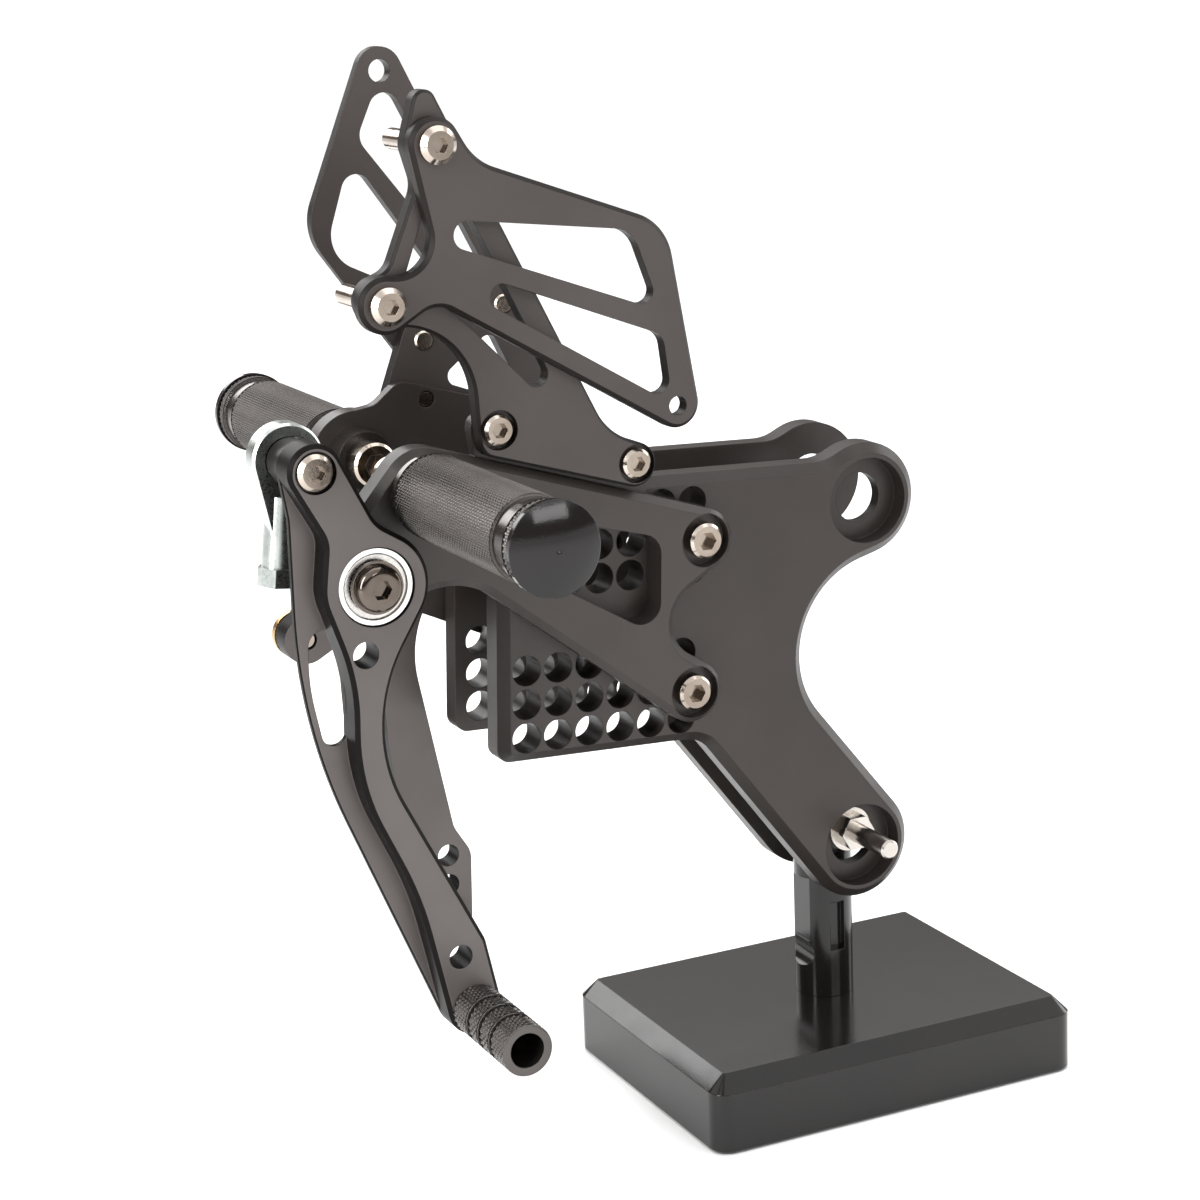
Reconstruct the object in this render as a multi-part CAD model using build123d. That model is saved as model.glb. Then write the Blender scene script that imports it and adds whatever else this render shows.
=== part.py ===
"""Rearset foot-peg pair on a display stand.

Plates are drawn in their own plane as (x, z) and grow outward from the main plate's outer face.
The right set is then stood up facing -Y, the left set is its mirror image, and both lean together.
The origin is the centre of the stand base's bottom face, +Z is up.
"""
import math
import os

from build123d import *

os.makedirs("parts", exist_ok=True)

# ---- driving dimensions, mm ----
BASE_X, BASE_Y, BASE_Z = 128.0, 98.0, 24.0
BASE_BEVEL, BASE_CORNER = 5.0, 6.0
POST_R = 9.2
POST_X = 1.4                     # post axis from the base centre
STAND_BOLT_Z = 82.4              # bolt height above the table
STUD_DEPTH = 14.0
GAP = 25.0                       # between the two main plates
PLATE_T, PLATE_BEVEL = 10.0, 3.0
HANGER_T, HANGER_BEVEL, LEDGE_T = 9.0, 2.2, 4.0
BRACKET_T, GUARD_T = 5.0, 4.5
LEVER_GAP, LEVER_T, RIB_T = 1.0, 10.0, 2.0
GRID_PITCH, GRID_R = 10.0, 4.5
BOSS_R, BOSS_BORE_R, BOSS_SINK_R, BOSS_SINK = 17.3, 7.5, 13.0, 6.0
PEG_R, PEG_LENGTH = 12.0, 87.0
TOE_R, TOE_BORE_R, TOE_LENGTH = 7.5, 5.0, 35.0
LEAN = 2.59                      # degrees both sets lean on the bolt
SET_X, SET_Z = -108.4, 131.3     # plate datum from the origin
LEFT_X, LEFT_Z = 0.5, 1.2        # the left set sits this much off the right one

# ---- points in the plate plane ----
LOWER_BOSS = (113.5, -48.0)
UPPER_BOSS = (112.5, 60.5)
BOLT_UPPER = (53.0, 55.0)
BOLT_LOWER = (50.0, 10.0)
PEG_AXIS = (-34.2, 76.3)
BRAKE_PIVOT = (-53.0, 53.6)
SHIFT_PIVOT = (-16.0, 42.5)
SCREW_A, SCREW_B = (-12.0, 91.8), (30.5, 79.3)
GUARD_A, GUARD_B = (-31.7, 170.3), (-46.3, 128.2)
GUARD_HOLE, GUARD_HOLE_R = (41.1, 95.8), 2.75
LEFT_GUARD_A, LEFT_GUARD_B = (-11.0, 108.5), (14.5, 118.0)
LEFT_GUARD_HOLE, LEFT_GUARD_HOLE_R = (-21.7, 186.1), 3.3
BRAKE_ROD = (-69.6, 86.0)
BRAKE_TOE = (-25.0, -71.2)
SHIFT_ROD = (-46.9, 20.5)
SHIFT_TOE = (-2.5, -71.7)

HANGER_Z = HANGER_T
BRACKET_Z = LEDGE_T + BRACKET_T
GUARD_Z = BRACKET_Z + GUARD_T
LEVER_Z = HANGER_T + LEVER_GAP
LEVER_TOP = LEVER_Z + LEVER_T


def outline(corners):
    """Face whose edge wraps anticlockwise round circles (x, z, r); a negative r hollows inward."""
    after = corners[1:] + corners[:1]
    heads = []
    for (x0, z0, r0), (x1, z1, r1) in zip(corners, after):
        span = math.hypot(x1 - x0, z1 - z0)
        heads.append(math.atan2(z1 - z0, x1 - x0) + math.asin((r0 - r1) / span))

    def spot(corner, head):
        x, z, r = corner
        return (x + r * math.sin(head), z - r * math.cos(head))

    edges = []
    for i, corner in enumerate(corners):
        enter, leave = heads[i - 1], heads[i]
        turn = (leave - enter) % math.tau
        if corner[2] < 0:
            turn -= math.tau
        first, last = spot(corner, enter), spot(corner, leave)
        if 1e-4 < abs(turn) < math.tau - 1e-4:
            edges.append(ThreePointArc(first, spot(corner, enter + turn / 2), last))
        edges.append(Line(last, spot(after[i], leave)))
    return make_face(edges)


def grown(corners, by):
    """The same outline moved outward all round."""
    return [(x, z, r + by) for x, z, r in corners]


def slab(corners, z0, z1, bevel=0.0):
    """Plate between two heights with its outer rim bevelled on the upper face."""
    body = extrude(outline(corners), amount=z1 - z0)
    if bevel:
        rim = body.faces().sort_by(Axis.Z)[-1].outer_wire().edges()
        body = chamfer(rim, bevel)
    return Pos(0, 0, z0) * body


def rod(at, r, z0, z1):
    """Cylinder square to the plates."""
    low, high = min(z0, z1), max(z0, z1)
    return Pos(at[0], at[1], (low + high) / 2) * Cylinder(r, high - low)


def tube(at, r, bore, z0, z1):
    return rod(at, r, z0, z1) - rod(at, bore, z0 - 1, z1 + 1)


def hexagon(at, across, z0, z1):
    """Hexagonal prism by its width across flats."""
    shape = RegularPolygon(across / 2, 6, major_radius=False)
    return Pos(at[0], at[1], z0) * extrude(shape, amount=z1 - z0)


def socket_bolt(at, shank, head, height, key, seat, tip, dome=0.8):
    """Socket bolt: the head stands on the seat height and the shank runs down to the tip."""
    cap = chamfer(rod((0, 0), head, 0, height).edges().group_by(Axis.Z)[-1], dome)
    cap -= hexagon((0, 0), key, height * 0.4, height + 1)
    cap = Pos(at[0], at[1], seat) * cap
    stem = chamfer(rod(at, shank, tip, seat).edges().group_by(Axis.Z)[0], shank * 0.2)
    return cap + stem


def hex_nut(at, across, bore, z0, z1):
    body = hexagon(at, across, z0, z1) & rod(at, across * 0.56, z0, z1)
    return body - rod(at, bore, z0 - 1, z1 + 1)


# ---- main plate ----
MAIN = [
    (-4.0, -3.5, 4.0), (52.9, -17.5, -10.0), (*LOWER_BOSS, BOSS_R), (120.5, 14.6, -28.9),
    (*UPPER_BOSS, BOSS_R), (95.6, 87.0, -14.0), (21.0, 68.0, 5.0), (-3.0, 40.0, 5.0),
]


def main_plate():
    body = slab(MAIN, -PLATE_T, 0, PLATE_BEVEL)
    for boss in (LOWER_BOSS, UPPER_BOSS):
        body -= rod(boss, BOSS_SINK_R, -BOSS_SINK, 1)
        body -= rod(boss, BOSS_BORE_R, -PLATE_T - 1, 1)
    lower = [(GRID_PITCH * i, GRID_PITCH * j) for i in range(6) for j in range(3)]
    upper = [(13 + GRID_PITCH * i, 45 + GRID_PITCH * j) for i in range(5) for j in range(3)]
    drill = [rod(at, GRID_R, -PLATE_T - 1, 1) for at in lower + upper]
    return body - drill


# ---- hangers ----
SCALLOP = (54.5, 31.3, -11.4)
RIGHT_HANGER = [
    (*BOLT_LOWER, 9.2), SCALLOP, (*BOLT_UPPER, 9.2), (*PEG_AXIS, 12.0),
    (*BRAKE_PIVOT, 11.5), (-26.5, 26.8, -22.0),
]
LEFT_HANGER = [
    (*BOLT_LOWER, 9.2), SCALLOP, (*BOLT_UPPER, 9.2), (*PEG_AXIS, 13.6), (*SHIFT_PIVOT, 13.0),
]
HANGER_WINDOW = [(0.0, 58.2, 8.0), (32.4, 38.3, 6.1), (32.3, 52.4, 6.2)]
RIGHT_LEDGE = [(33.0, 66.0, 3.0), (30.0, 79.0, 5.6), (-14.0, 91.8, 4.6), (-13.0, 78.0, 3.0)]
LEFT_LEDGE = [
    (33.0, 66.0, 3.0), (30.0, 79.0, 5.6), (-19.0, 91.2, 6.0), (-31.5, 97.5, -7.0),
    (*PEG_AXIS, 13.4),
]


def hanger(corners, ledge, bracket, pivot):
    body = slab(corners, 0, HANGER_Z, HANGER_BEVEL)
    body -= slab(grown(bracket, 0.3), LEDGE_T, HANGER_Z + 1)
    body += slab(ledge, 0, LEDGE_T)
    body -= slab(HANGER_WINDOW, -1, HANGER_Z + 1)
    for bolt in (BOLT_UPPER, BOLT_LOWER):
        body -= rod(bolt, 7.75, HANGER_Z - 4.5, HANGER_Z + 1)
        body -= rod(bolt, 3.3, -1, HANGER_Z)
    for screw in (SCREW_A, SCREW_B):
        body -= rod(screw, 2.5, -1, LEDGE_T + 1)
    body -= rod(PEG_AXIS, 4.2, -1, HANGER_Z + 1)
    body -= rod(pivot, 4.0, -1, HANGER_Z + 1)
    return body


# ---- heel-guard bracket ----
RIGHT_BRACKET = [
    (30.2, 79.0, 6.4), (34.0, 103.5, -18.0), (-32.9, 181.2, 3.4), (-32.3, 170.3, 6.6),
    (-44.1, 159.5, -8.0), (-48.7, 141.6, -6.0), (-46.3, 128.9, 6.6), (-41.0, 99.6, -22.2),
    (-12.4, 89.4, 5.4),
]
RIGHT_BRACKET_WINDOW = [
    (-0.6, 106.6, 3.5), (-24.6, 154.0, 2.6), (-30.8, 154.0, 2.2), (-36.6, 136.5, 2.2),
    (-41.0, 99.6, -29.5),
]
LEFT_BRACKET = [(30.2, 79.0, 6.4), (*LEFT_GUARD_B, 7.0), (*LEFT_GUARD_A, 7.0), (-16.3, 91.2, 7.4)]
LEFT_BRACKET_WINDOW = [(-0.5, 97.5, 3.0), (17.0, 91.5, 3.0), (9.5, 106.0, 3.0)]


def guard_bracket(corners, window, bolts):
    body = slab(corners, LEDGE_T, BRACKET_Z, 0.8)
    body -= slab(window, 0, BRACKET_Z + 1)
    for screw in (SCREW_A, SCREW_B):
        body -= rod(screw, 5.6, BRACKET_Z - 2.6, BRACKET_Z + 1)
        body -= rod(screw, 2.7, 0, BRACKET_Z)
    for bolt in bolts:
        body -= rod(bolt, 3.0, 0, BRACKET_Z + 1)
    return body


# ---- heel guard ----
RIGHT_GUARD = [
    (41.2, 96.3, 6.9), (24.0, 135.0, 15.7), (-9.6, 179.2, -16.0), (*GUARD_A, 7.4),
    (-43.0, 145.4, -9.6), (*GUARD_B, 7.8), (-31.3, 119.2, -7.9),
]
RIGHT_GUARD_WINDOWS = (
    [(-23.0, 146.1, 3.9), (29.6, 128.6, 3.5), (20.5, 137.8, 8.5)],
    [(-12.8, 129.2, 3.6), (34.6, 103.3, 3.7), (31.6, 112.3, 5.2)],
)
LEFT_GUARD = [
    (*LEFT_GUARD_B, 7.4), (*LEFT_GUARD_HOLE, 6.9), (-27.7, 143.8, 15.7), (*LEFT_GUARD_A, 7.4),
]
LEFT_GUARD_WINDOWS = (
    [(6.0, 130.5, 3.4), (-20.3, 175.2, 4.8), (-22.4, 168.0, 5.6)],
    [(-5.0, 122.5, 3.2), (-29.3, 152.4, 4.6), (-26.9, 139.8, 10.4)],
)


def heel_guard(corners, windows, bolts, hole, hole_r):
    body = slab(corners, BRACKET_Z, GUARD_Z, 1.2)
    for window in windows:
        body -= slab(window, BRACKET_Z - 1, GUARD_Z + 1)
    for bolt in bolts:
        body -= rod(bolt, 3.2, BRACKET_Z - 1, GUARD_Z + 1)
    return body - rod(hole, hole_r, BRACKET_Z - 1, GUARD_Z + 1)


# ---- foot peg ----
PEG_ROOT = HANGER_Z
PEG_START = PEG_ROOT + 7.0
PEG_END = PEG_ROOT + PEG_LENGTH
CAP_T, RING_T, GROOVE_T = 4.5, 4.0, 8.0


def peg_body():
    """Collars at the root, grip body, smooth groove and the ring under the cap."""
    grip_end = PEG_END - CAP_T - RING_T - GROOVE_T
    body = rod(PEG_AXIS, 9.0, PEG_ROOT, PEG_START)
    body += rod(PEG_AXIS, PEG_R - 1.2, PEG_ROOT + 2.0, PEG_START)
    body += rod(PEG_AXIS, PEG_R, PEG_START, grip_end)
    body += rod(PEG_AXIS, PEG_R - 1.0, grip_end, grip_end + GROOVE_T)
    body += rod(PEG_AXIS, PEG_R, grip_end + GROOVE_T, PEG_END - CAP_T)
    body -= rod(PEG_AXIS, 4.0, PEG_ROOT - 1, PEG_ROOT + 22)
    return body - rod(PEG_AXIS, 3.0, PEG_END - 16, PEG_END)


def peg_cap():
    """Shallow dome with a stub that enters the grip."""
    edge, rise = PEG_R + 0.5, 2.6
    curve = (edge**2 + rise**2) / (2 * rise)
    disc = rod(PEG_AXIS, edge, PEG_END - CAP_T, PEG_END)
    disc &= Pos(*PEG_AXIS, PEG_END - curve) * Sphere(curve)
    return disc + rod(PEG_AXIS, 3.0, PEG_END - CAP_T - 9, PEG_END - CAP_T)


def peg_bolt():
    """Socket bolt driven from the inner face, through a black collar."""
    turned = socket_bolt((0, 0), 4.0, 6.5, 8.0, 6.0, 0, -(HANGER_Z + 8 + 18))
    return Pos(*PEG_AXIS, -8) * Rot(180, 0, 0) * turned


def peg_collar():
    return tube(PEG_AXIS, 8.6, 4.2, -8.0, 0)


# ---- brake lever ----
LEVER_EDGE = [
    (*BRAKE_TOE, 8.0), (-28.9, -54.0, 7.6), (-5.0, 14.0, -46.0), (*BRAKE_PIVOT, 15.3),
    (-45.5, 78.0, -9.6), (*BRAKE_ROD, 7.7),
]
BRAKE_BACK = LEVER_EDGE + [(-94.7, 70.0, -20.0), (88.0, 52.5, 162.0)]
BRAKE_FACE = LEVER_EDGE + [
    (-76.0, 65.0, -8.6), (*BRAKE_PIVOT, 15.3), (-118.6, 17.0, -59.0), (1.4, 13.0, 61.0),
    (-139.4, -72.4, -103.2),
]
LEVER_SLOT = [(-63.0, 12.2, 3.7), (-65.6, 37.0, 4.4), (-10.0, 33.0, 60.0)]
BEARING_R, BEARING_T, BEARING_SINK = 11.0, 7.0, 0.8


def lever_bore(pivot, top):
    """Bearing seat open on the outer face, with a shoulder on the inner face."""
    seat = top - BEARING_SINK - BEARING_T
    return rod(pivot, BEARING_R, seat, top + 1) + rod(pivot, 7.5, LEVER_Z - 1, seat)


def brake_lever():
    back = slab(BRAKE_BACK, LEVER_Z, LEVER_Z + RIB_T, 0.4)
    back -= slab(LEVER_SLOT, LEVER_Z - 1, LEVER_TOP)
    body = back + slab(BRAKE_FACE, LEVER_Z, LEVER_TOP, 1.2)
    body -= lever_bore(BRAKE_PIVOT, LEVER_TOP)
    body -= rod(BRAKE_ROD, 3.0, LEVER_Z - 1, LEVER_TOP + 1)
    body -= rod(BRAKE_ROD, 5.8, LEVER_TOP - 2.2, LEVER_TOP + 1)
    body -= rod((-56.4, 35.1), 3.75, LEVER_Z - 1, LEVER_TOP + 1)
    body -= rod((-29.6, -55.2), 3.5, LEVER_Z - 1, LEVER_TOP + 1)
    return body - rod(BRAKE_TOE, 3.0, LEVER_Z - 1, LEVER_TOP + 1)


# ---- shift lever ----
SHIFT_TOP = LEVER_Z + 8.0
SHIFT_EDGE = [
    (SHIFT_TOE[0], -73.0, 7.8), (-2.5, -54.5, 7.6), (6.7, -40.6, -7.8), (20.5, 12.3, -33.2),
    (*SHIFT_PIVOT, 14.0), (*SHIFT_ROD, 7.2), (-31.5, 12.0, -8.0), (97.4, -0.2, 120.0),
]


def shift_lever():
    body = slab(SHIFT_EDGE, LEVER_Z, SHIFT_TOP, 0.8)
    body -= lever_bore(SHIFT_PIVOT, SHIFT_TOP)
    for z in (-52.6, -62.2):
        body -= rod((SHIFT_TOE[0], z), 3.5, LEVER_Z - 1, SHIFT_TOP + 1)
    body -= rod(SHIFT_TOE, 3.0, LEVER_Z - 1, SHIFT_TOP + 1)
    return body - rod(SHIFT_ROD, 3.0, LEVER_Z - 1, SHIFT_TOP + 1)


# ---- pivot bearing and bolt ----
def bearing(pivot, top):
    """Outer race, shields and inner race of a small deep-groove bearing, and its bush."""
    high = top - BEARING_SINK
    low = high - BEARING_T
    outer = tube(pivot, BEARING_R, 8.9, low, high)
    outer = chamfer(outer.edges().group_by(Axis.Z)[-1], 0.4)
    shield = tube(pivot, 8.9, 6.2, high - 1.1, high - 0.6)
    shield += tube(pivot, 8.9, 6.2, low + 0.6, low + 1.1)
    inner = tube(pivot, 6.1, 4.0, low, high)
    bush = tube(pivot, 6.1, 4.0, HANGER_Z, low)
    return outer, shield, inner, bush


def pivot_bolt(pivot, top):
    """Flanged button bolt that clamps the inner race and screws into the hanger."""
    seat = top - BEARING_SINK
    flange = rod(pivot, 7.4, seat + 0.3, seat + 1.6) + rod(pivot, 6.0, seat, seat + 0.3)
    dome = rod((0, 0), 6.6, 0, 3.2)
    dome = fillet(dome.edges().group_by(Axis.Z)[-1], 2.4)
    dome -= hexagon((0, 0), 5.0, 1.0, 4)
    stem = rod(pivot, 4.0, -0.5, seat)
    return flange + Pos(*pivot, seat + 1.6) * dome + stem


# ---- toe peg ----
def toe_peg(at, z0):
    """Knurled tube with three grooves and a solid floor under its screw."""
    body = rod(at, TOE_R, z0, z0 + TOE_LENGTH)
    for share in (0.28, 0.5, 0.72):
        middle = z0 + TOE_LENGTH * share
        body -= tube(at, TOE_R + 1, TOE_R - 0.6, middle - 0.7, middle + 0.7)
    body -= rod(at, TOE_BORE_R, z0 + 8, z0 + TOE_LENGTH + 1)
    return body - rod(at, 3.0, z0 - 1, z0 + 9)


def toe_screw(at, z0):
    """Socket screw from the lever's inner face into the toe peg."""
    turned = socket_bolt((0, 0), 3.0, 5.2, 3.0, 4.0, 0, -(z0 - LEVER_Z + 9), 0.9)
    return Pos(*at, LEVER_Z) * Rot(180, 0, 0) * turned


# ---- rod end on the brake lever ----
ROD_LEAN = -4.2
ROD_Z0, ROD_Z1 = -9.0, -1.0
ROD_LENGTH, ROD_FOOT = 35.0, 5.2


def rod_end():
    """Female rod end: flat eye, round neck and hexagon foot with a tapped hole from below."""
    middle = (ROD_Z0 + ROD_Z1) / 2
    width = ROD_Z1 - ROD_Z0
    eye = slab([(0, 0, 10.2), (0, -17, 5.0)], -(width - 1) / 2, (width - 1) / 2)
    eye = chamfer(eye.edges().group_by(Axis.Z)[0] + eye.edges().group_by(Axis.Z)[-1], 0.7)
    neck = rod((0, 0), 5.0, 10, ROD_LENGTH - ROD_FOOT)
    foot = hexagon((0, 0), 11.0, ROD_LENGTH - ROD_FOOT, ROD_LENGTH)
    foot &= rod((0, 0), 6.2, ROD_LENGTH - ROD_FOOT, ROD_LENGTH)
    body = eye + Rot(90, 0, 0) * (neck + foot)
    body -= Cylinder(6.6, width + 2)
    body -= Pos(0, -ROD_LENGTH, 0) * Rot(90, 0, 0) * Cylinder(3.0, 34)
    place = Pos(*BRAKE_ROD, middle) * Rot(0, 0, ROD_LEAN)
    ball = (Sphere(6.5) & Cylinder(8, width)) - Cylinder(3.05, width + 2)
    return place * body, Pos(*BRAKE_ROD, middle) * ball


def rod_bolt():
    return socket_bolt(BRAKE_ROD, 3.0, 5.2, 3.2, 4.0, LEVER_TOP - 2.2, ROD_Z0 - 6.5, 1.2)


# ---- stand ----
def stand_base():
    body = Pos(0, 0, BASE_Z / 2) * Box(BASE_X, BASE_Y, BASE_Z)
    body = fillet(body.edges().filter_by(Axis.Z), BASE_CORNER)
    body = chamfer(body.faces().sort_by(Axis.Z)[-1].outer_wire().edges(), BASE_BEVEL)
    body = chamfer(body.faces().sort_by(Axis.Z)[0].outer_wire().edges(), 0.8)
    return body - Pos(POST_X, 0, BASE_Z) * Cylinder(4.0, 2 * STUD_DEPTH)


def stand_post():
    """Round post with an eye for the bolt, a flat, a slot and a side notch."""
    height = STAND_BOLT_Z + 9.0 - BASE_Z
    body = Cylinder(POST_R, height, align=(Align.CENTER, Align.CENTER, Align.MIN))
    body = chamfer(body.edges().group_by(Axis.Z)[-1], 1.0)
    body -= Pos(-POST_R - 1.5, 0, 29) * Box(6, 30, 21)
    body -= Pos(-POST_R - 4.2, 0, 14.5) * Rot(90, 0, 0) * Cylinder(6.5, 30)
    body -= Pos(0, -POST_R, 23.5) * Box(5, 5, 16)
    body = Pos(POST_X, 0, BASE_Z) * body
    body -= Pos(POST_X, 0, STAND_BOLT_Z) * Rot(90, 0, 0) * Cylinder(3.2, 40)
    return body - Pos(POST_X, 0, BASE_Z) * Cylinder(4.0, 2 * STUD_DEPTH)


def stand_stud():
    """Headless stud that joins the post to the base."""
    body = Cylinder(4.0, 2 * STUD_DEPTH - 2)
    return Pos(POST_X, 0, BASE_Z) * chamfer(body.edges(), 0.6)


def across_stand(shape):
    """Turn a shape drawn along +Z so it points along -Y at the stand bolt."""
    return Pos(POST_X, 0, STAND_BOLT_Z) * Rot(90, 0, 0) * shape


INNER = GAP / 2
FLOOR = INNER + PLATE_T - BOSS_SINK
WASHER_R, WASHER_T = 7.0, 1.5


def stand_bolt():
    """Hexagon bolt headed on the left side, its free end out on the right."""
    head = hexagon((0, 0), 10.0, -FLOOR - WASHER_T - 4.2, -FLOOR - WASHER_T)
    stem = rod((0, 0), 3.0, -FLOOR - WASHER_T, 41.5)
    return across_stand(head + chamfer(stem.edges().group_by(Axis.Z)[-1], 0.6))


def stand_nut():
    return across_stand(hex_nut((0, 0), 10.0, 3.0, FLOOR + WASHER_T, FLOOR + WASHER_T + 5.0))


def stand_washers():
    near = tube((0, 0), WASHER_R, 3.2, FLOOR, FLOOR + WASHER_T)
    return [across_stand(near), across_stand(mirror(near, about=Plane.XY))]


def stand_spacers():
    near = tube((0, 0), 8.0, 3.2, POST_R, INNER)
    return [across_stand(near), across_stand(mirror(near, about=Plane.XY))]


# ---- placing ----
OUTER = GAP / 2 + PLATE_T


def stand_up(shape, left):
    """Carry a shape from the plate plane to its place on the right or left of the stand."""
    shift = (LEFT_X, LEFT_Z) if left else (0, 0)
    shape = Pos(0, -OUTER, 0) * Rot(90, 0, 0) * Pos(*shift, 0) * shape
    if left:
        shape = mirror(shape, about=Plane.XZ)
    return Pos(SET_X, 0, SET_Z) * Rot(0, LEAN, 0) * shape


def hanger_bolt(at):
    seat = HANGER_Z - 4.5
    bolt = socket_bolt(at, 3.0, 5.2, 5.4, 5.0, seat, -PLATE_T - 7.0)
    return bolt


def bracket_screw(at):
    return socket_bolt(at, 2.5, 4.4, 3.4, 4.0, BRACKET_Z - 2.6, 0.4)


def guard_bolt(at, tip):
    return socket_bolt(at, 3.0, 5.2, 3.2, 4.0, GUARD_Z, tip, 1.4)


def side_parts(left):
    """Every part of one set, by name, in the plate plane."""
    if left:
        pivot, top, toe = SHIFT_PIVOT, SHIFT_TOP, SHIFT_TOE
        edge, ledge, bracket = LEFT_HANGER, LEFT_LEDGE, LEFT_BRACKET
        bracket_window, guard, windows = LEFT_BRACKET_WINDOW, LEFT_GUARD, LEFT_GUARD_WINDOWS
        bolts, hole, tip = (LEFT_GUARD_A, LEFT_GUARD_B), LEFT_GUARD_HOLE, LEDGE_T - 0.5
        hole_r = LEFT_GUARD_HOLE_R
    else:
        pivot, top, toe = BRAKE_PIVOT, LEVER_TOP, BRAKE_TOE
        edge, ledge, bracket = RIGHT_HANGER, RIGHT_LEDGE, RIGHT_BRACKET
        bracket_window, guard, windows = RIGHT_BRACKET_WINDOW, RIGHT_GUARD, RIGHT_GUARD_WINDOWS
        bolts, hole, tip = (GUARD_A, GUARD_B), GUARD_HOLE, -18.5
        hole_r = GUARD_HOLE_R
    outer, shield, inner, bush = bearing(pivot, top)
    parts = {
        "main_plate": main_plate(),
        "hanger": hanger(edge, ledge, bracket, pivot),
        "hanger_bolts": [hanger_bolt(at) for at in (BOLT_UPPER, BOLT_LOWER)],
        "hanger_nuts": [
            hex_nut(at, 10.0, 3.0, -PLATE_T - 5.0, -PLATE_T) for at in (BOLT_UPPER, BOLT_LOWER)
        ],
        "guard_bracket": guard_bracket(bracket, bracket_window, bolts),
        "bracket_screws": [bracket_screw(at) for at in (SCREW_A, SCREW_B)],
        "heel_guard": heel_guard(guard, windows, bolts, hole, hole_r),
        "guard_bolts": [guard_bolt(at, tip) for at in bolts],
        "peg_body": peg_body(),
        "peg_cap": peg_cap(),
        "peg_bolt": peg_bolt(),
        "peg_collar": peg_collar(),
        "bearing_outer": outer,
        "bearing_shields": shield,
        "bearing_inner": inner,
        "pivot_bush": bush,
        "pivot_bolt": pivot_bolt(pivot, top),
        "toe_peg": toe_peg(toe, top),
        "toe_screw": toe_screw(toe, top),
    }
    if left:
        parts["shift_lever"] = shift_lever()
        parts["linkage_spacer"] = tube(SHIFT_ROD, 6.8, 3.0, SHIFT_TOP, SHIFT_TOP + 1.0)
        parts["linkage_brass_ring"] = tube(SHIFT_ROD, 7.2, 3.0, SHIFT_TOP + 1.0, SHIFT_TOP + 3.4)
        parts["linkage_bolt"] = socket_bolt(
            SHIFT_ROD, 3.0, 5.0, 4.0, 4.0, SHIFT_TOP + 3.4, LEVER_Z + 0.6
        )
    else:
        housing, ball = rod_end()
        parts["brake_lever"] = brake_lever()
        parts["rod_end_housing"] = housing
        parts["rod_end_ball"] = ball
        parts["rod_end_spacer"] = tube(BRAKE_ROD, 6.5, 3.0, ROD_Z1, LEVER_Z)
        parts["rod_end_bolt"] = rod_bolt()
    return parts


def save(name, shape):
    solids = []
    for piece in shape if isinstance(shape, list) else [shape]:
        solids += list(piece.solids())
    whole = solids[0] if len(solids) == 1 else Compound(children=solids)
    export_step(whole, f"parts/{name}.step")


STAND = {
    "stand_base": stand_base,
    "stand_post": stand_post,
    "stand_stud": stand_stud,
    "stand_bolt": stand_bolt,
    "stand_nut": stand_nut,
    "stand_washers": stand_washers,
    "stand_spacers": stand_spacers,
}
for name, build in STAND.items():
    save(name, build())
for side in ("right", "left"):
    left = side == "left"
    for name, shape in side_parts(left).items():
        placed = [stand_up(s, left) for s in (shape if isinstance(shape, list) else [shape])]
        save(f"{side}_{name}", placed)
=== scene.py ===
import math

import bpy
from mathutils import Matrix, Vector


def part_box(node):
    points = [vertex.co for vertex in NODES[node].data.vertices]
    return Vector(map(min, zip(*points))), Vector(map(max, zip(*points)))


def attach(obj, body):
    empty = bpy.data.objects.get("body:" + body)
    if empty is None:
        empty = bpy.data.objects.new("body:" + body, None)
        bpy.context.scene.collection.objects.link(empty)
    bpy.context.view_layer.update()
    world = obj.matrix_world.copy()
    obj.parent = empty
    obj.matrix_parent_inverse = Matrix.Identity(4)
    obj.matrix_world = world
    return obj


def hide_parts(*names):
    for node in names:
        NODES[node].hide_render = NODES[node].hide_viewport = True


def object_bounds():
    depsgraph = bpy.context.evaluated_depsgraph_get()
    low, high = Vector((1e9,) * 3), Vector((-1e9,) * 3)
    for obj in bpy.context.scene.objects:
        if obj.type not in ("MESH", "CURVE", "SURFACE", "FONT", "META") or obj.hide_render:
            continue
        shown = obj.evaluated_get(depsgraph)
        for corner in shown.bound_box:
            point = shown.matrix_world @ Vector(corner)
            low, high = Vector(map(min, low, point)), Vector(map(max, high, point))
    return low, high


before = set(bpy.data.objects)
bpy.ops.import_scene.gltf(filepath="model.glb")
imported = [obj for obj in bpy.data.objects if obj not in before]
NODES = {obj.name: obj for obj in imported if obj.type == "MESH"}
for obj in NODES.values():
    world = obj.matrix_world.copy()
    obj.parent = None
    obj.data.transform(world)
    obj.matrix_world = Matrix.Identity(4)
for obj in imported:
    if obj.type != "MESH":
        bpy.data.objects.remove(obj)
cad_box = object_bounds()
MM = 0.001

WHITE = (1.0, 1.0, 1.0)
FINE = (500.0, 500.0, 500.0)
SIDES = (("right", "brake_lever"), ("left", "shift_lever"))

PEG_COLUMNS, TOE_COLUMNS = 96, 48
PEG_NECK, PEG_SHOULDER = 2.0, 7.0          # mm from the grip's inner end
PEG_GROOVE, PEG_RING = 12.0, 4.0           # mm back from the grip's outer end
TOE_BORE, TOE_SCREW_R, TOE_SEAT = 5.0, 3.0, 8.0
TOE_GROOVES = (0.28, 0.5, 0.72, 1.0)       # ends of the knurled bands as shares of the length
TOE_HALF_GROOVE = 0.7


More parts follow.
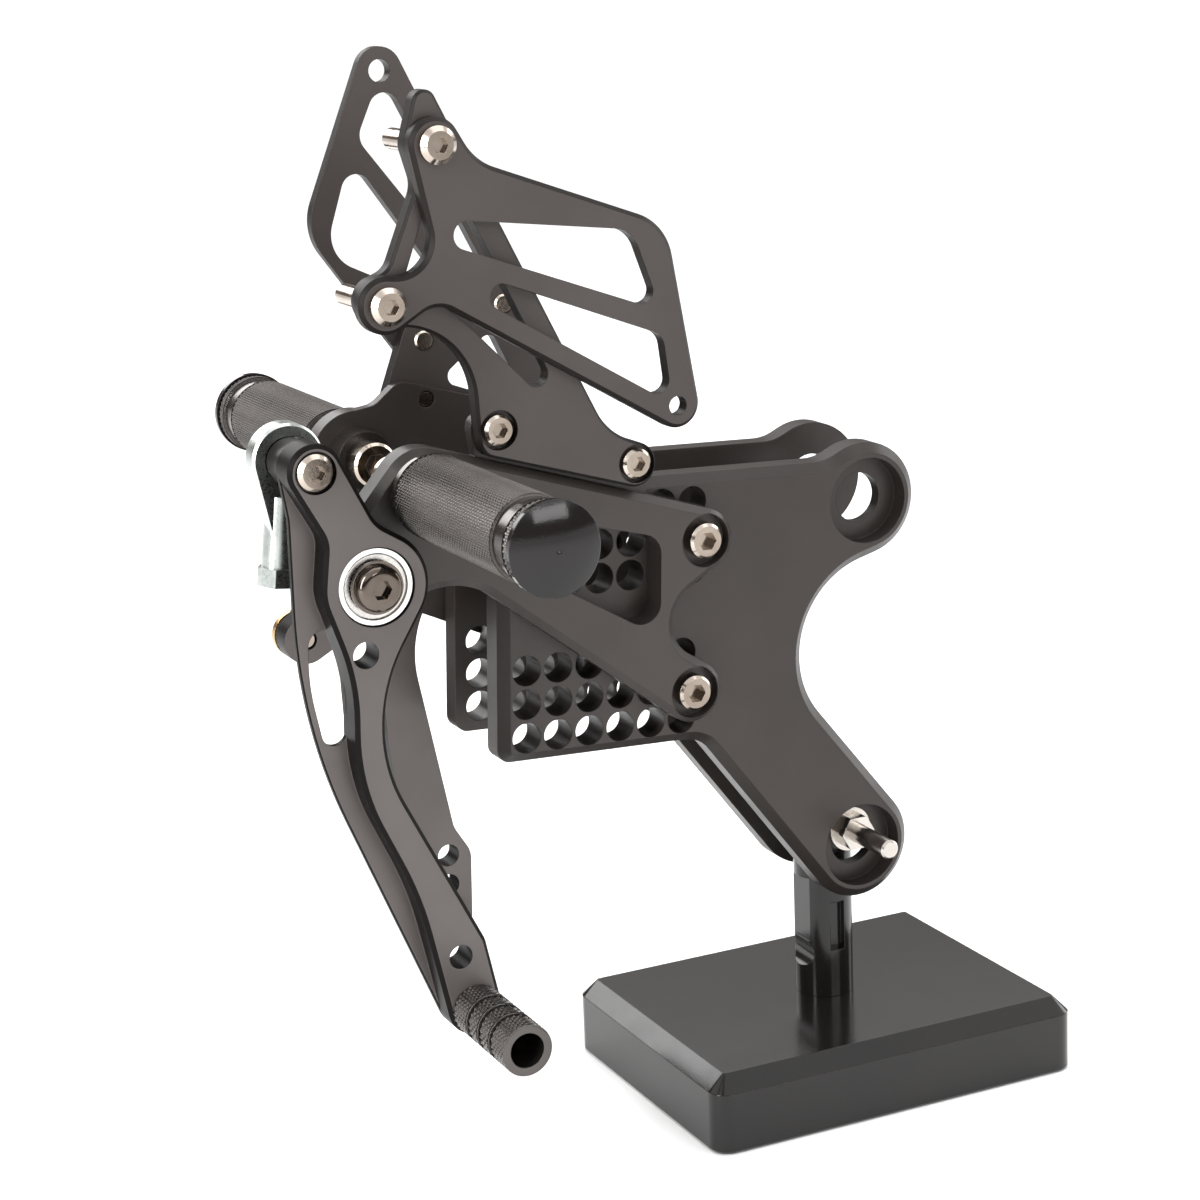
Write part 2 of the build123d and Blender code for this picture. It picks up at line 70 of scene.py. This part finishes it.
# ---------------------------------------------------------------- materials
def new_material(name):
    mat = bpy.data.materials.new(name)
    mat.use_nodes = True
    tree = mat.node_tree
    tree.nodes.clear()
    out = tree.nodes.new("ShaderNodeOutputMaterial")
    shader = tree.nodes.new("ShaderNodeBsdfPrincipled")
    tree.links.new(shader.outputs["BSDF"], out.inputs["Surface"])
    return mat, tree, shader


def add(tree, kind, **inputs):
    node = tree.nodes.new(kind)
    for key, value in inputs.items():
        node.inputs[key.replace("_", " ")].default_value = value
    return node


def ramp(tree, source, stops):
    node = tree.nodes.new("ShaderNodeValToRGB")
    points = node.color_ramp.elements
    for extra in range(len(stops) - 2):
        points.new(0.5)
    for point, (at, colour) in zip(points, stops):
        point.position = at
        point.color = (*colour, 1.0)
    tree.links.new(source, node.inputs["Fac"])
    return node.outputs["Color"]


def grey(value):
    return (value, value, value)


def coordinates(tree, scale=(1.0, 1.0, 1.0)):
    place = tree.nodes.new("ShaderNodeTexCoord")
    mapping = tree.nodes.new("ShaderNodeMapping")
    mapping.inputs["Scale"].default_value = scale
    tree.links.new(place.outputs["Object"], mapping.inputs["Vector"])
    return mapping.outputs["Vector"]


def noise(tree, vector, scale, detail=3.0, rough=0.55):
    node = add(tree, "ShaderNodeTexNoise", Scale=scale, Detail=detail, Roughness=rough)
    tree.links.new(vector, node.inputs["Vector"])
    return node.outputs["Fac"]


def edge_normal(tree, radius):
    """Slightly rounded edges, so that every machined edge catches a thin line of light."""
    node = tree.nodes.new("ShaderNodeBevel")
    node.samples = 4
    node.inputs["Radius"].default_value = radius
    return node.outputs["Normal"]


def bump(tree, height, strength, distance, normal=None):
    node = add(tree, "ShaderNodeBump", Strength=strength, Distance=distance)
    tree.links.new(height, node.inputs["Height"])
    if normal is not None:
        tree.links.new(normal, node.inputs["Normal"])
    return node.outputs["Normal"]


def facing(tree, face, wall):
    """Colour of the flat outer faces, and another for the bevels and side walls."""
    place = tree.nodes.new("ShaderNodeTexCoord")
    split = tree.nodes.new("ShaderNodeSeparateXYZ")
    size = tree.nodes.new("ShaderNodeMath")
    size.operation = "ABSOLUTE"
    tree.links.new(place.outputs["Normal"], split.inputs["Vector"])
    tree.links.new(split.outputs["Y"], size.inputs[0])
    return ramp(tree, size.outputs["Value"], [(0.90, wall), (0.97, face)])


def with_painted_wall_light(tree, colour, painted_wall_light):
    """The colour as it is on flat outer faces, multiplied by another one on bevels and side walls: painted
    shade where that factor is below one, painted light where it is above one.
    """
    shade = tree.nodes.new("ShaderNodeMix")
    shade.data_type = "RGBA"
    shade.blend_type = "MULTIPLY"
    shade.inputs["Factor"].default_value = 1.0
    tree.links.new(colour, shade.inputs["A"])
    tree.links.new(facing(tree, grey(1.0), painted_wall_light), shade.inputs["B"])
    return shade.outputs["Result"]


def anodised(name, dark, light, metallic, rough, painted_wall_light=WHITE, rounding=0.45):
    """Black anodised aluminium: fine matt grain, faint cloudy tone and softly rounded edges. Bevels and side
    walls are multiplied by the wall factor, which is painted shade where it is below one and also lowers
    their specular level.
    """
    mat, tree, shader = new_material(name)
    place = coordinates(tree)
    cloud = noise(tree, place, 22.0, 4.0)
    grain = noise(tree, coordinates(tree, (900.0, 900.0, 900.0)), 2.2, 2.0)
    colour = ramp(tree, cloud, [(0.3, dark), (0.72, light)])
    tree.links.new(with_painted_wall_light(tree, colour, painted_wall_light), shader.inputs["Base Color"])
    gloss = ramp(tree, noise(tree, place, 60.0, 3.0), [(0.3, grey(rough - 0.04)), (0.75, grey(rough + 0.05))])
    tree.links.new(gloss, shader.inputs["Roughness"])
    tree.links.new(facing(tree, grey(0.5), grey(0.5 * painted_wall_light[0])), shader.inputs["Specular IOR Level"])
    shader.inputs["Metallic"].default_value = metallic
    edge = edge_normal(tree, rounding * MM)
    tree.links.new(bump(tree, grain, 0.12, 0.00012, edge), shader.inputs["Normal"])
    return mat


def metal(name, dark, light, rough, grain=0.1, stretch=FINE, rounding=0.15, painted_wall_light=WHITE):
    """Bare or plated metal with fine machining marks. Bevels and side walls are multiplied by the wall
    factor, which is a painted highlight where it is above one.
    """
    mat, tree, shader = new_material(name)
    place = coordinates(tree)
    colour = ramp(tree, noise(tree, place, 120.0, 4.0), [(0.3, dark), (0.7, light)])
    tree.links.new(with_painted_wall_light(tree, colour, painted_wall_light), shader.inputs["Base Color"])
    marks = noise(tree, coordinates(tree, stretch), 2.0, 3.0)
    gloss = ramp(tree, marks, [(0.3, grey(rough * 0.75)), (0.75, grey(rough * 1.35))])
    tree.links.new(gloss, shader.inputs["Roughness"])
    shader.inputs["Metallic"].default_value = 1.0
    edge = edge_normal(tree, rounding * MM)
    tree.links.new(bump(tree, marks, grain, 0.0001, edge), shader.inputs["Normal"])
    return mat


# For these four, the last argument is painted shade on bevels and side walls, strongest on the guard and the
# lever.
PLATE = anodised(
    "anodised_plate", (0.026, 0.021, 0.019), (0.037, 0.030, 0.027),
    0.3, 0.38, (0.75, 0.75, 0.75),
)
HANGER = anodised(
    "anodised_hanger", (0.030, 0.025, 0.022), (0.042, 0.035, 0.032),
    0.3, 0.36, (0.8, 0.8, 0.8),
)
GUARD = anodised(
    "anodised_guard", (0.047, 0.039, 0.036), (0.061, 0.052, 0.048),
    0.3, 0.42, (0.25, 0.25, 0.25),
)
LEVER = anodised(
    "anodised_lever", (0.085, 0.074, 0.070), (0.115, 0.102, 0.097),
    0.25, 0.38, (0.08, 0.08, 0.08),
)
STAND = anodised("anodised_stand", (0.006, 0.005, 0.005), (0.010, 0.009, 0.008), 0.2, 0.14)
GRIP = anodised("anodised_grip", (0.085, 0.078, 0.074), (0.125, 0.116, 0.110), 0.92, 0.19)
GLOSS = anodised("anodised_cap", (0.008, 0.007, 0.007), (0.014, 0.012, 0.012), 0.3, 0.10)
COLLAR = anodised("anodised_collar", (0.015, 0.013, 0.012), (0.024, 0.020, 0.018), 0.3, 0.3)
# Part of the dark brownish steel tone is painted reflection of dark brown surroundings, and the wall factor
# above one is a painted highlight on the side walls.
STAINLESS = metal(
    "stainless_screw", (0.24, 0.20, 0.165), (0.34, 0.29, 0.245),
    0.16, painted_wall_light=(1.5, 1.55, 1.6),
)
BRIGHT = metal("bright_steel_bolt", (0.42, 0.39, 0.36), (0.56, 0.53, 0.49), 0.2)
DARK_STEEL = metal("blackened_pivot_steel", (0.10, 0.083, 0.070), (0.15, 0.125, 0.108), 0.1)
BEARING = metal("ground_bearing_steel", (0.80, 0.80, 0.78), (0.92, 0.92, 0.90), 0.2)
SHIELD = metal("bearing_shield", (0.50, 0.48, 0.46), (0.62, 0.60, 0.58), 0.26)
# Side walls are painted 3.2 times lighter than the dark flat faces: a painted highlight on the housing's
# sides.
ZINC = metal(
    "zinc_plated_steel", (0.13, 0.14, 0.135), (0.19, 0.20, 0.195),
    0.30, 0.2, painted_wall_light=(3.2, 3.2, 3.2),
)
BRASS = metal("turned_brass", (0.45, 0.30, 0.13), (0.60, 0.42, 0.20), 0.28)

RULES = (
    ("stand_base", STAND), ("stand_post", STAND), ("stand_spacers", COLLAR), ("stand_", BRIGHT),
    ("pivot_bolt", DARK_STEEL),
    ("main_plate", PLATE), ("hanger_bolts", STAINLESS), ("hanger_nuts", STAINLESS),
    ("hanger", HANGER), ("guard_bracket", GUARD), ("heel_guard", GUARD),
    ("peg_body", GRIP), ("peg_cap", GLOSS), ("peg_collar", COLLAR),
    ("toe_peg", GRIP), ("rod_end_housing", ZINC), ("rod_end_ball", STAINLESS),
    ("spacer", COLLAR), ("pivot_bush", STAINLESS), ("brass", BRASS),
    ("bearing_shields", SHIELD), ("bearing", BEARING), ("lever", LEVER),
)


def finish_for(name):
    for key, mat in RULES:
        if key in name:
            return mat
    return STAINLESS


def dress(piece, mat):
    piece.data.materials.clear()
    piece.data.materials.append(mat)


for name, node in NODES.items():
    for slot in node.material_slots:
        slot.material = finish_for(name)


# ---------------------------------------------------------------- knurled grips
def strip(rows, columns):
    """Vertices and faces of rings given as (distance, radius for even spots, radius for odd spots)."""
    points, faces = [], []
    for j, (along, even, odd) in enumerate(rows):
        for i in range(columns):
            radius = odd if (i + j) % 2 else even
            turn = math.tau * i / columns
            points.append((radius * math.cos(turn), along, radius * math.sin(turn)))
    for j in range(len(rows) - 1):
        for i in range(columns):
            k = (i + 1) % columns
            a, b = j * columns + i, j * columns + k
            c, d = a + columns, b + columns
            if rows[j][1] == rows[j][2] and rows[j + 1][1] == rows[j + 1][2]:
                faces.append((a, b, d, c))
            elif (i + j) % 2:
                faces += [(a, b, c), (b, d, c)]
            else:
                faces += [(a, b, d), (a, d, c)]
    return points, faces


def plain(start, end, r0, r1=None):
    return [(start, r0, r0), (end, r0 if r1 is None else r1, r0 if r1 is None else r1)]


def knurl(start, end, radius, depth, columns):
    """Crossed V grooves that leave a field of small pyramids."""
    step = math.tau * radius / columns
    count = max(2, 2 * round((end - start) / step / 2))
    low = radius - depth
    rows = [(start, low, low)]
    rows += [(start + (end - start) * j / count, low, radius) for j in range(1, count)]
    return rows + [(end, low, low)]


def grip(name, node, strips, columns, mat):
    """Turned and knurled stand-in for a CAD grip; distances run outward from its inner end, in mm."""
    low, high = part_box(node)
    outward = -1.0 if node.startswith("right") else 1.0
    start = high.y if outward < 0 else low.y
    points, faces, smooth = [], [], []
    for rows in strips:
        more, mesh_faces = strip(rows, columns)
        first = len(points)
        points += more
        faces += [tuple(first + i for i in face) for face in mesh_faces]
        smooth += [len(face) == 4 for face in mesh_faces]
    x, z = (low.x + high.x) / 2, (low.z + high.z) / 2
    placed = [(x + p[0] * MM, start + outward * p[1] * MM, z + p[2] * MM) for p in points]
    mesh = bpy.data.meshes.new(name)
    mesh.from_pydata(placed, [], faces)
    mesh.polygons.foreach_set("use_smooth", smooth)
    mesh.update()
    piece = bpy.data.objects.new(name, mesh)
    bpy.context.collection.objects.link(piece)
    dress(piece, mat)
    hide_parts(node)
    return piece


def foot_grip(side):
    node = f"{side}_peg_body"
    low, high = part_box(node)
    length = (high.y - low.y) / MM
    radius = (high.x - low.x) / MM / 2
    ring, groove = length - PEG_RING, length - PEG_GROOVE
    strips = [
        plain(0, PEG_NECK, radius - 3.0),
        plain(PEG_NECK, PEG_NECK, radius - 3.0, radius - 1.2),
        plain(PEG_NECK, PEG_SHOULDER, radius - 1.2),
        plain(PEG_SHOULDER, PEG_SHOULDER, radius - 1.2, radius - 0.1),
        knurl(PEG_SHOULDER, groove, radius, 0.6, PEG_COLUMNS),
        plain(groove, groove, radius - 0.2, radius - 1.0),
        plain(groove, ring, radius - 1.0),
        plain(ring, ring, radius - 1.0, radius - 0.1),
        knurl(ring, length, radius, 0.55, PEG_COLUMNS),
        plain(length, length, radius - 0.1, 3.0),
        plain(0, 0, 4.0, radius - 3.0),
    ]
    piece = grip(f"{side}_knurled_foot_grip", node, strips, PEG_COLUMNS, GRIP)
    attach(piece, "root")


def toe_grip(side, body):
    node = f"{side}_toe_peg"
    low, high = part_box(node)
    length = (high.y - low.y) / MM
    radius = (high.x - low.x) / MM / 2
    strips, edge = [], 0.0
    for share in TOE_GROOVES:
        middle = length * share
        end = middle - TOE_HALF_GROOVE if share < 1 else length
        strips.append(knurl(edge, end, radius, 0.5, TOE_COLUMNS))
        if share < 1:
            edge = middle + TOE_HALF_GROOVE
            strips.append(plain(end, end, radius - 0.1, radius - 0.6))
            strips.append(plain(end, edge, radius - 0.6))
            strips.append(plain(edge, edge, radius - 0.6, radius - 0.1))
    strips += [
        plain(length, length, radius - 0.1, TOE_BORE),
        plain(length, TOE_SEAT, TOE_BORE),
        plain(TOE_SEAT, TOE_SEAT, TOE_BORE, TOE_SCREW_R),
        plain(TOE_SEAT, 0, TOE_SCREW_R),
        plain(0, 0, TOE_SCREW_R, radius - 0.5),
    ]
    piece = grip(f"{side}_knurled_toe_grip", node, strips, TOE_COLUMNS, GRIP)
    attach(piece, body)


for side, body in SIDES:
    foot_grip(side)
    toe_grip(side, body)


# ---------------------------------------------------------------- floor, light and camera
def floor():
    size = 30.0
    mesh = bpy.data.meshes.new("floor")
    corners = [(-size, -size, 0), (size, -size, 0), (size, size, 0), (-size, size, 0)]
    mesh.from_pydata(corners, [], [(0, 1, 2, 3)])
    piece = bpy.data.objects.new("floor", mesh)
    bpy.context.collection.objects.link(piece)
    piece.location.z = cad_box[0][2] - 0.0002
    mat, tree, shader = new_material("pale_floor")
    shader.inputs["Roughness"].default_value = 0.6
    tint = ramp(tree, noise(tree, coordinates(tree), 3.0), [(0.3, grey(0.93)), (0.7, grey(0.95))])
    tree.links.new(tint, shader.inputs["Base Color"])
    dress(piece, mat)


def area_light(name, place, target, size, power, colour=(1.0, 1.0, 1.0)):
    data = bpy.data.lights.new(name, "AREA")
    data.shape = "RECTANGLE"
    data.size, data.size_y = size
    data.energy = power
    data.color = colour
    lamp = bpy.data.objects.new(name, data)
    bpy.context.collection.objects.link(lamp)
    lamp.location = place
    lamp.rotation_euler = (Vector(target) - Vector(place)).to_track_quat("-Z", "Y").to_euler()


CENTRE = (0.0, 0.0, 0.15)
floor()
area_light("top_softbox", (0.1, 0.3, 1.5), CENTRE, (1.6, 1.6), 12.0)
area_light("left_softbox", (-1.5, -0.5, 0.8), CENTRE, (0.35, 1.3), 22.0)
area_light("front_softbox", (0.5, -1.8, 0.9), CENTRE, (1.2, 0.4), 8.0)
area_light("right_softbox", (1.6, 0.2, 0.7), CENTRE, (0.5, 1.4), 9.0)
area_light("back_softbox", (-0.4, 1.7, 0.9), CENTRE, (1.4, 0.4), 8.0)


def studio_sky():
    """White overhead, dim near the horizon, so that polished metal keeps dark reflections."""
    world = bpy.data.worlds.new("studio")
    bpy.context.scene.world = world
    world.use_nodes = True
    tree = world.node_tree
    place = tree.nodes.new("ShaderNodeTexCoord")
    split = tree.nodes.new("ShaderNodeSeparateXYZ")
    tree.links.new(place.outputs["Generated"], split.inputs["Vector"])
    stops = [
        (0.0, grey(0.9)),
        (0.04, (0.13, 0.11, 0.10)),
        (0.30, (0.16, 0.14, 0.125)),
        (0.46, grey(1.0)),
    ]
    sky = ramp(tree, split.outputs["Z"], stops)
    back = tree.nodes["Background"]
    tree.links.new(sky, back.inputs["Color"])
    back.inputs["Strength"].default_value = 1.35


studio_sky()
bpy.context.scene.view_settings.view_transform = "Standard"

CAMERA_AT = (-0.4103, -0.7158, 0.3599)
HEADING, PITCH, ROLL = math.radians(25.31), math.radians(14.07), math.radians(-2.29)


def camera():
    data = bpy.data.cameras.new("photo_camera")
    data.sensor_width = 36.0
    data.lens = 82.2
    data.clip_start = 0.01
    data.shift_x = -3.2 / 1200
    data.shift_y = 3.1 / 1200
    eye = bpy.data.objects.new("photo_camera", data)
    bpy.context.collection.objects.link(eye)
    right = Vector((math.cos(HEADING), -math.sin(HEADING), 0.0))
    level = math.cos(PITCH)
    ahead = Vector((math.sin(HEADING) * level, math.cos(HEADING) * level, -math.sin(PITCH)))
    up = right.cross(ahead)
    side = math.cos(ROLL) * right + math.sin(ROLL) * up
    top = -math.sin(ROLL) * right + math.cos(ROLL) * up
    eye.matrix_world = Matrix.Translation(CAMERA_AT) @ Matrix((side, top, -ahead)).transposed().to_4x4()
    bpy.context.scene.camera = eye


camera()

bpy.context.view_layer.update()
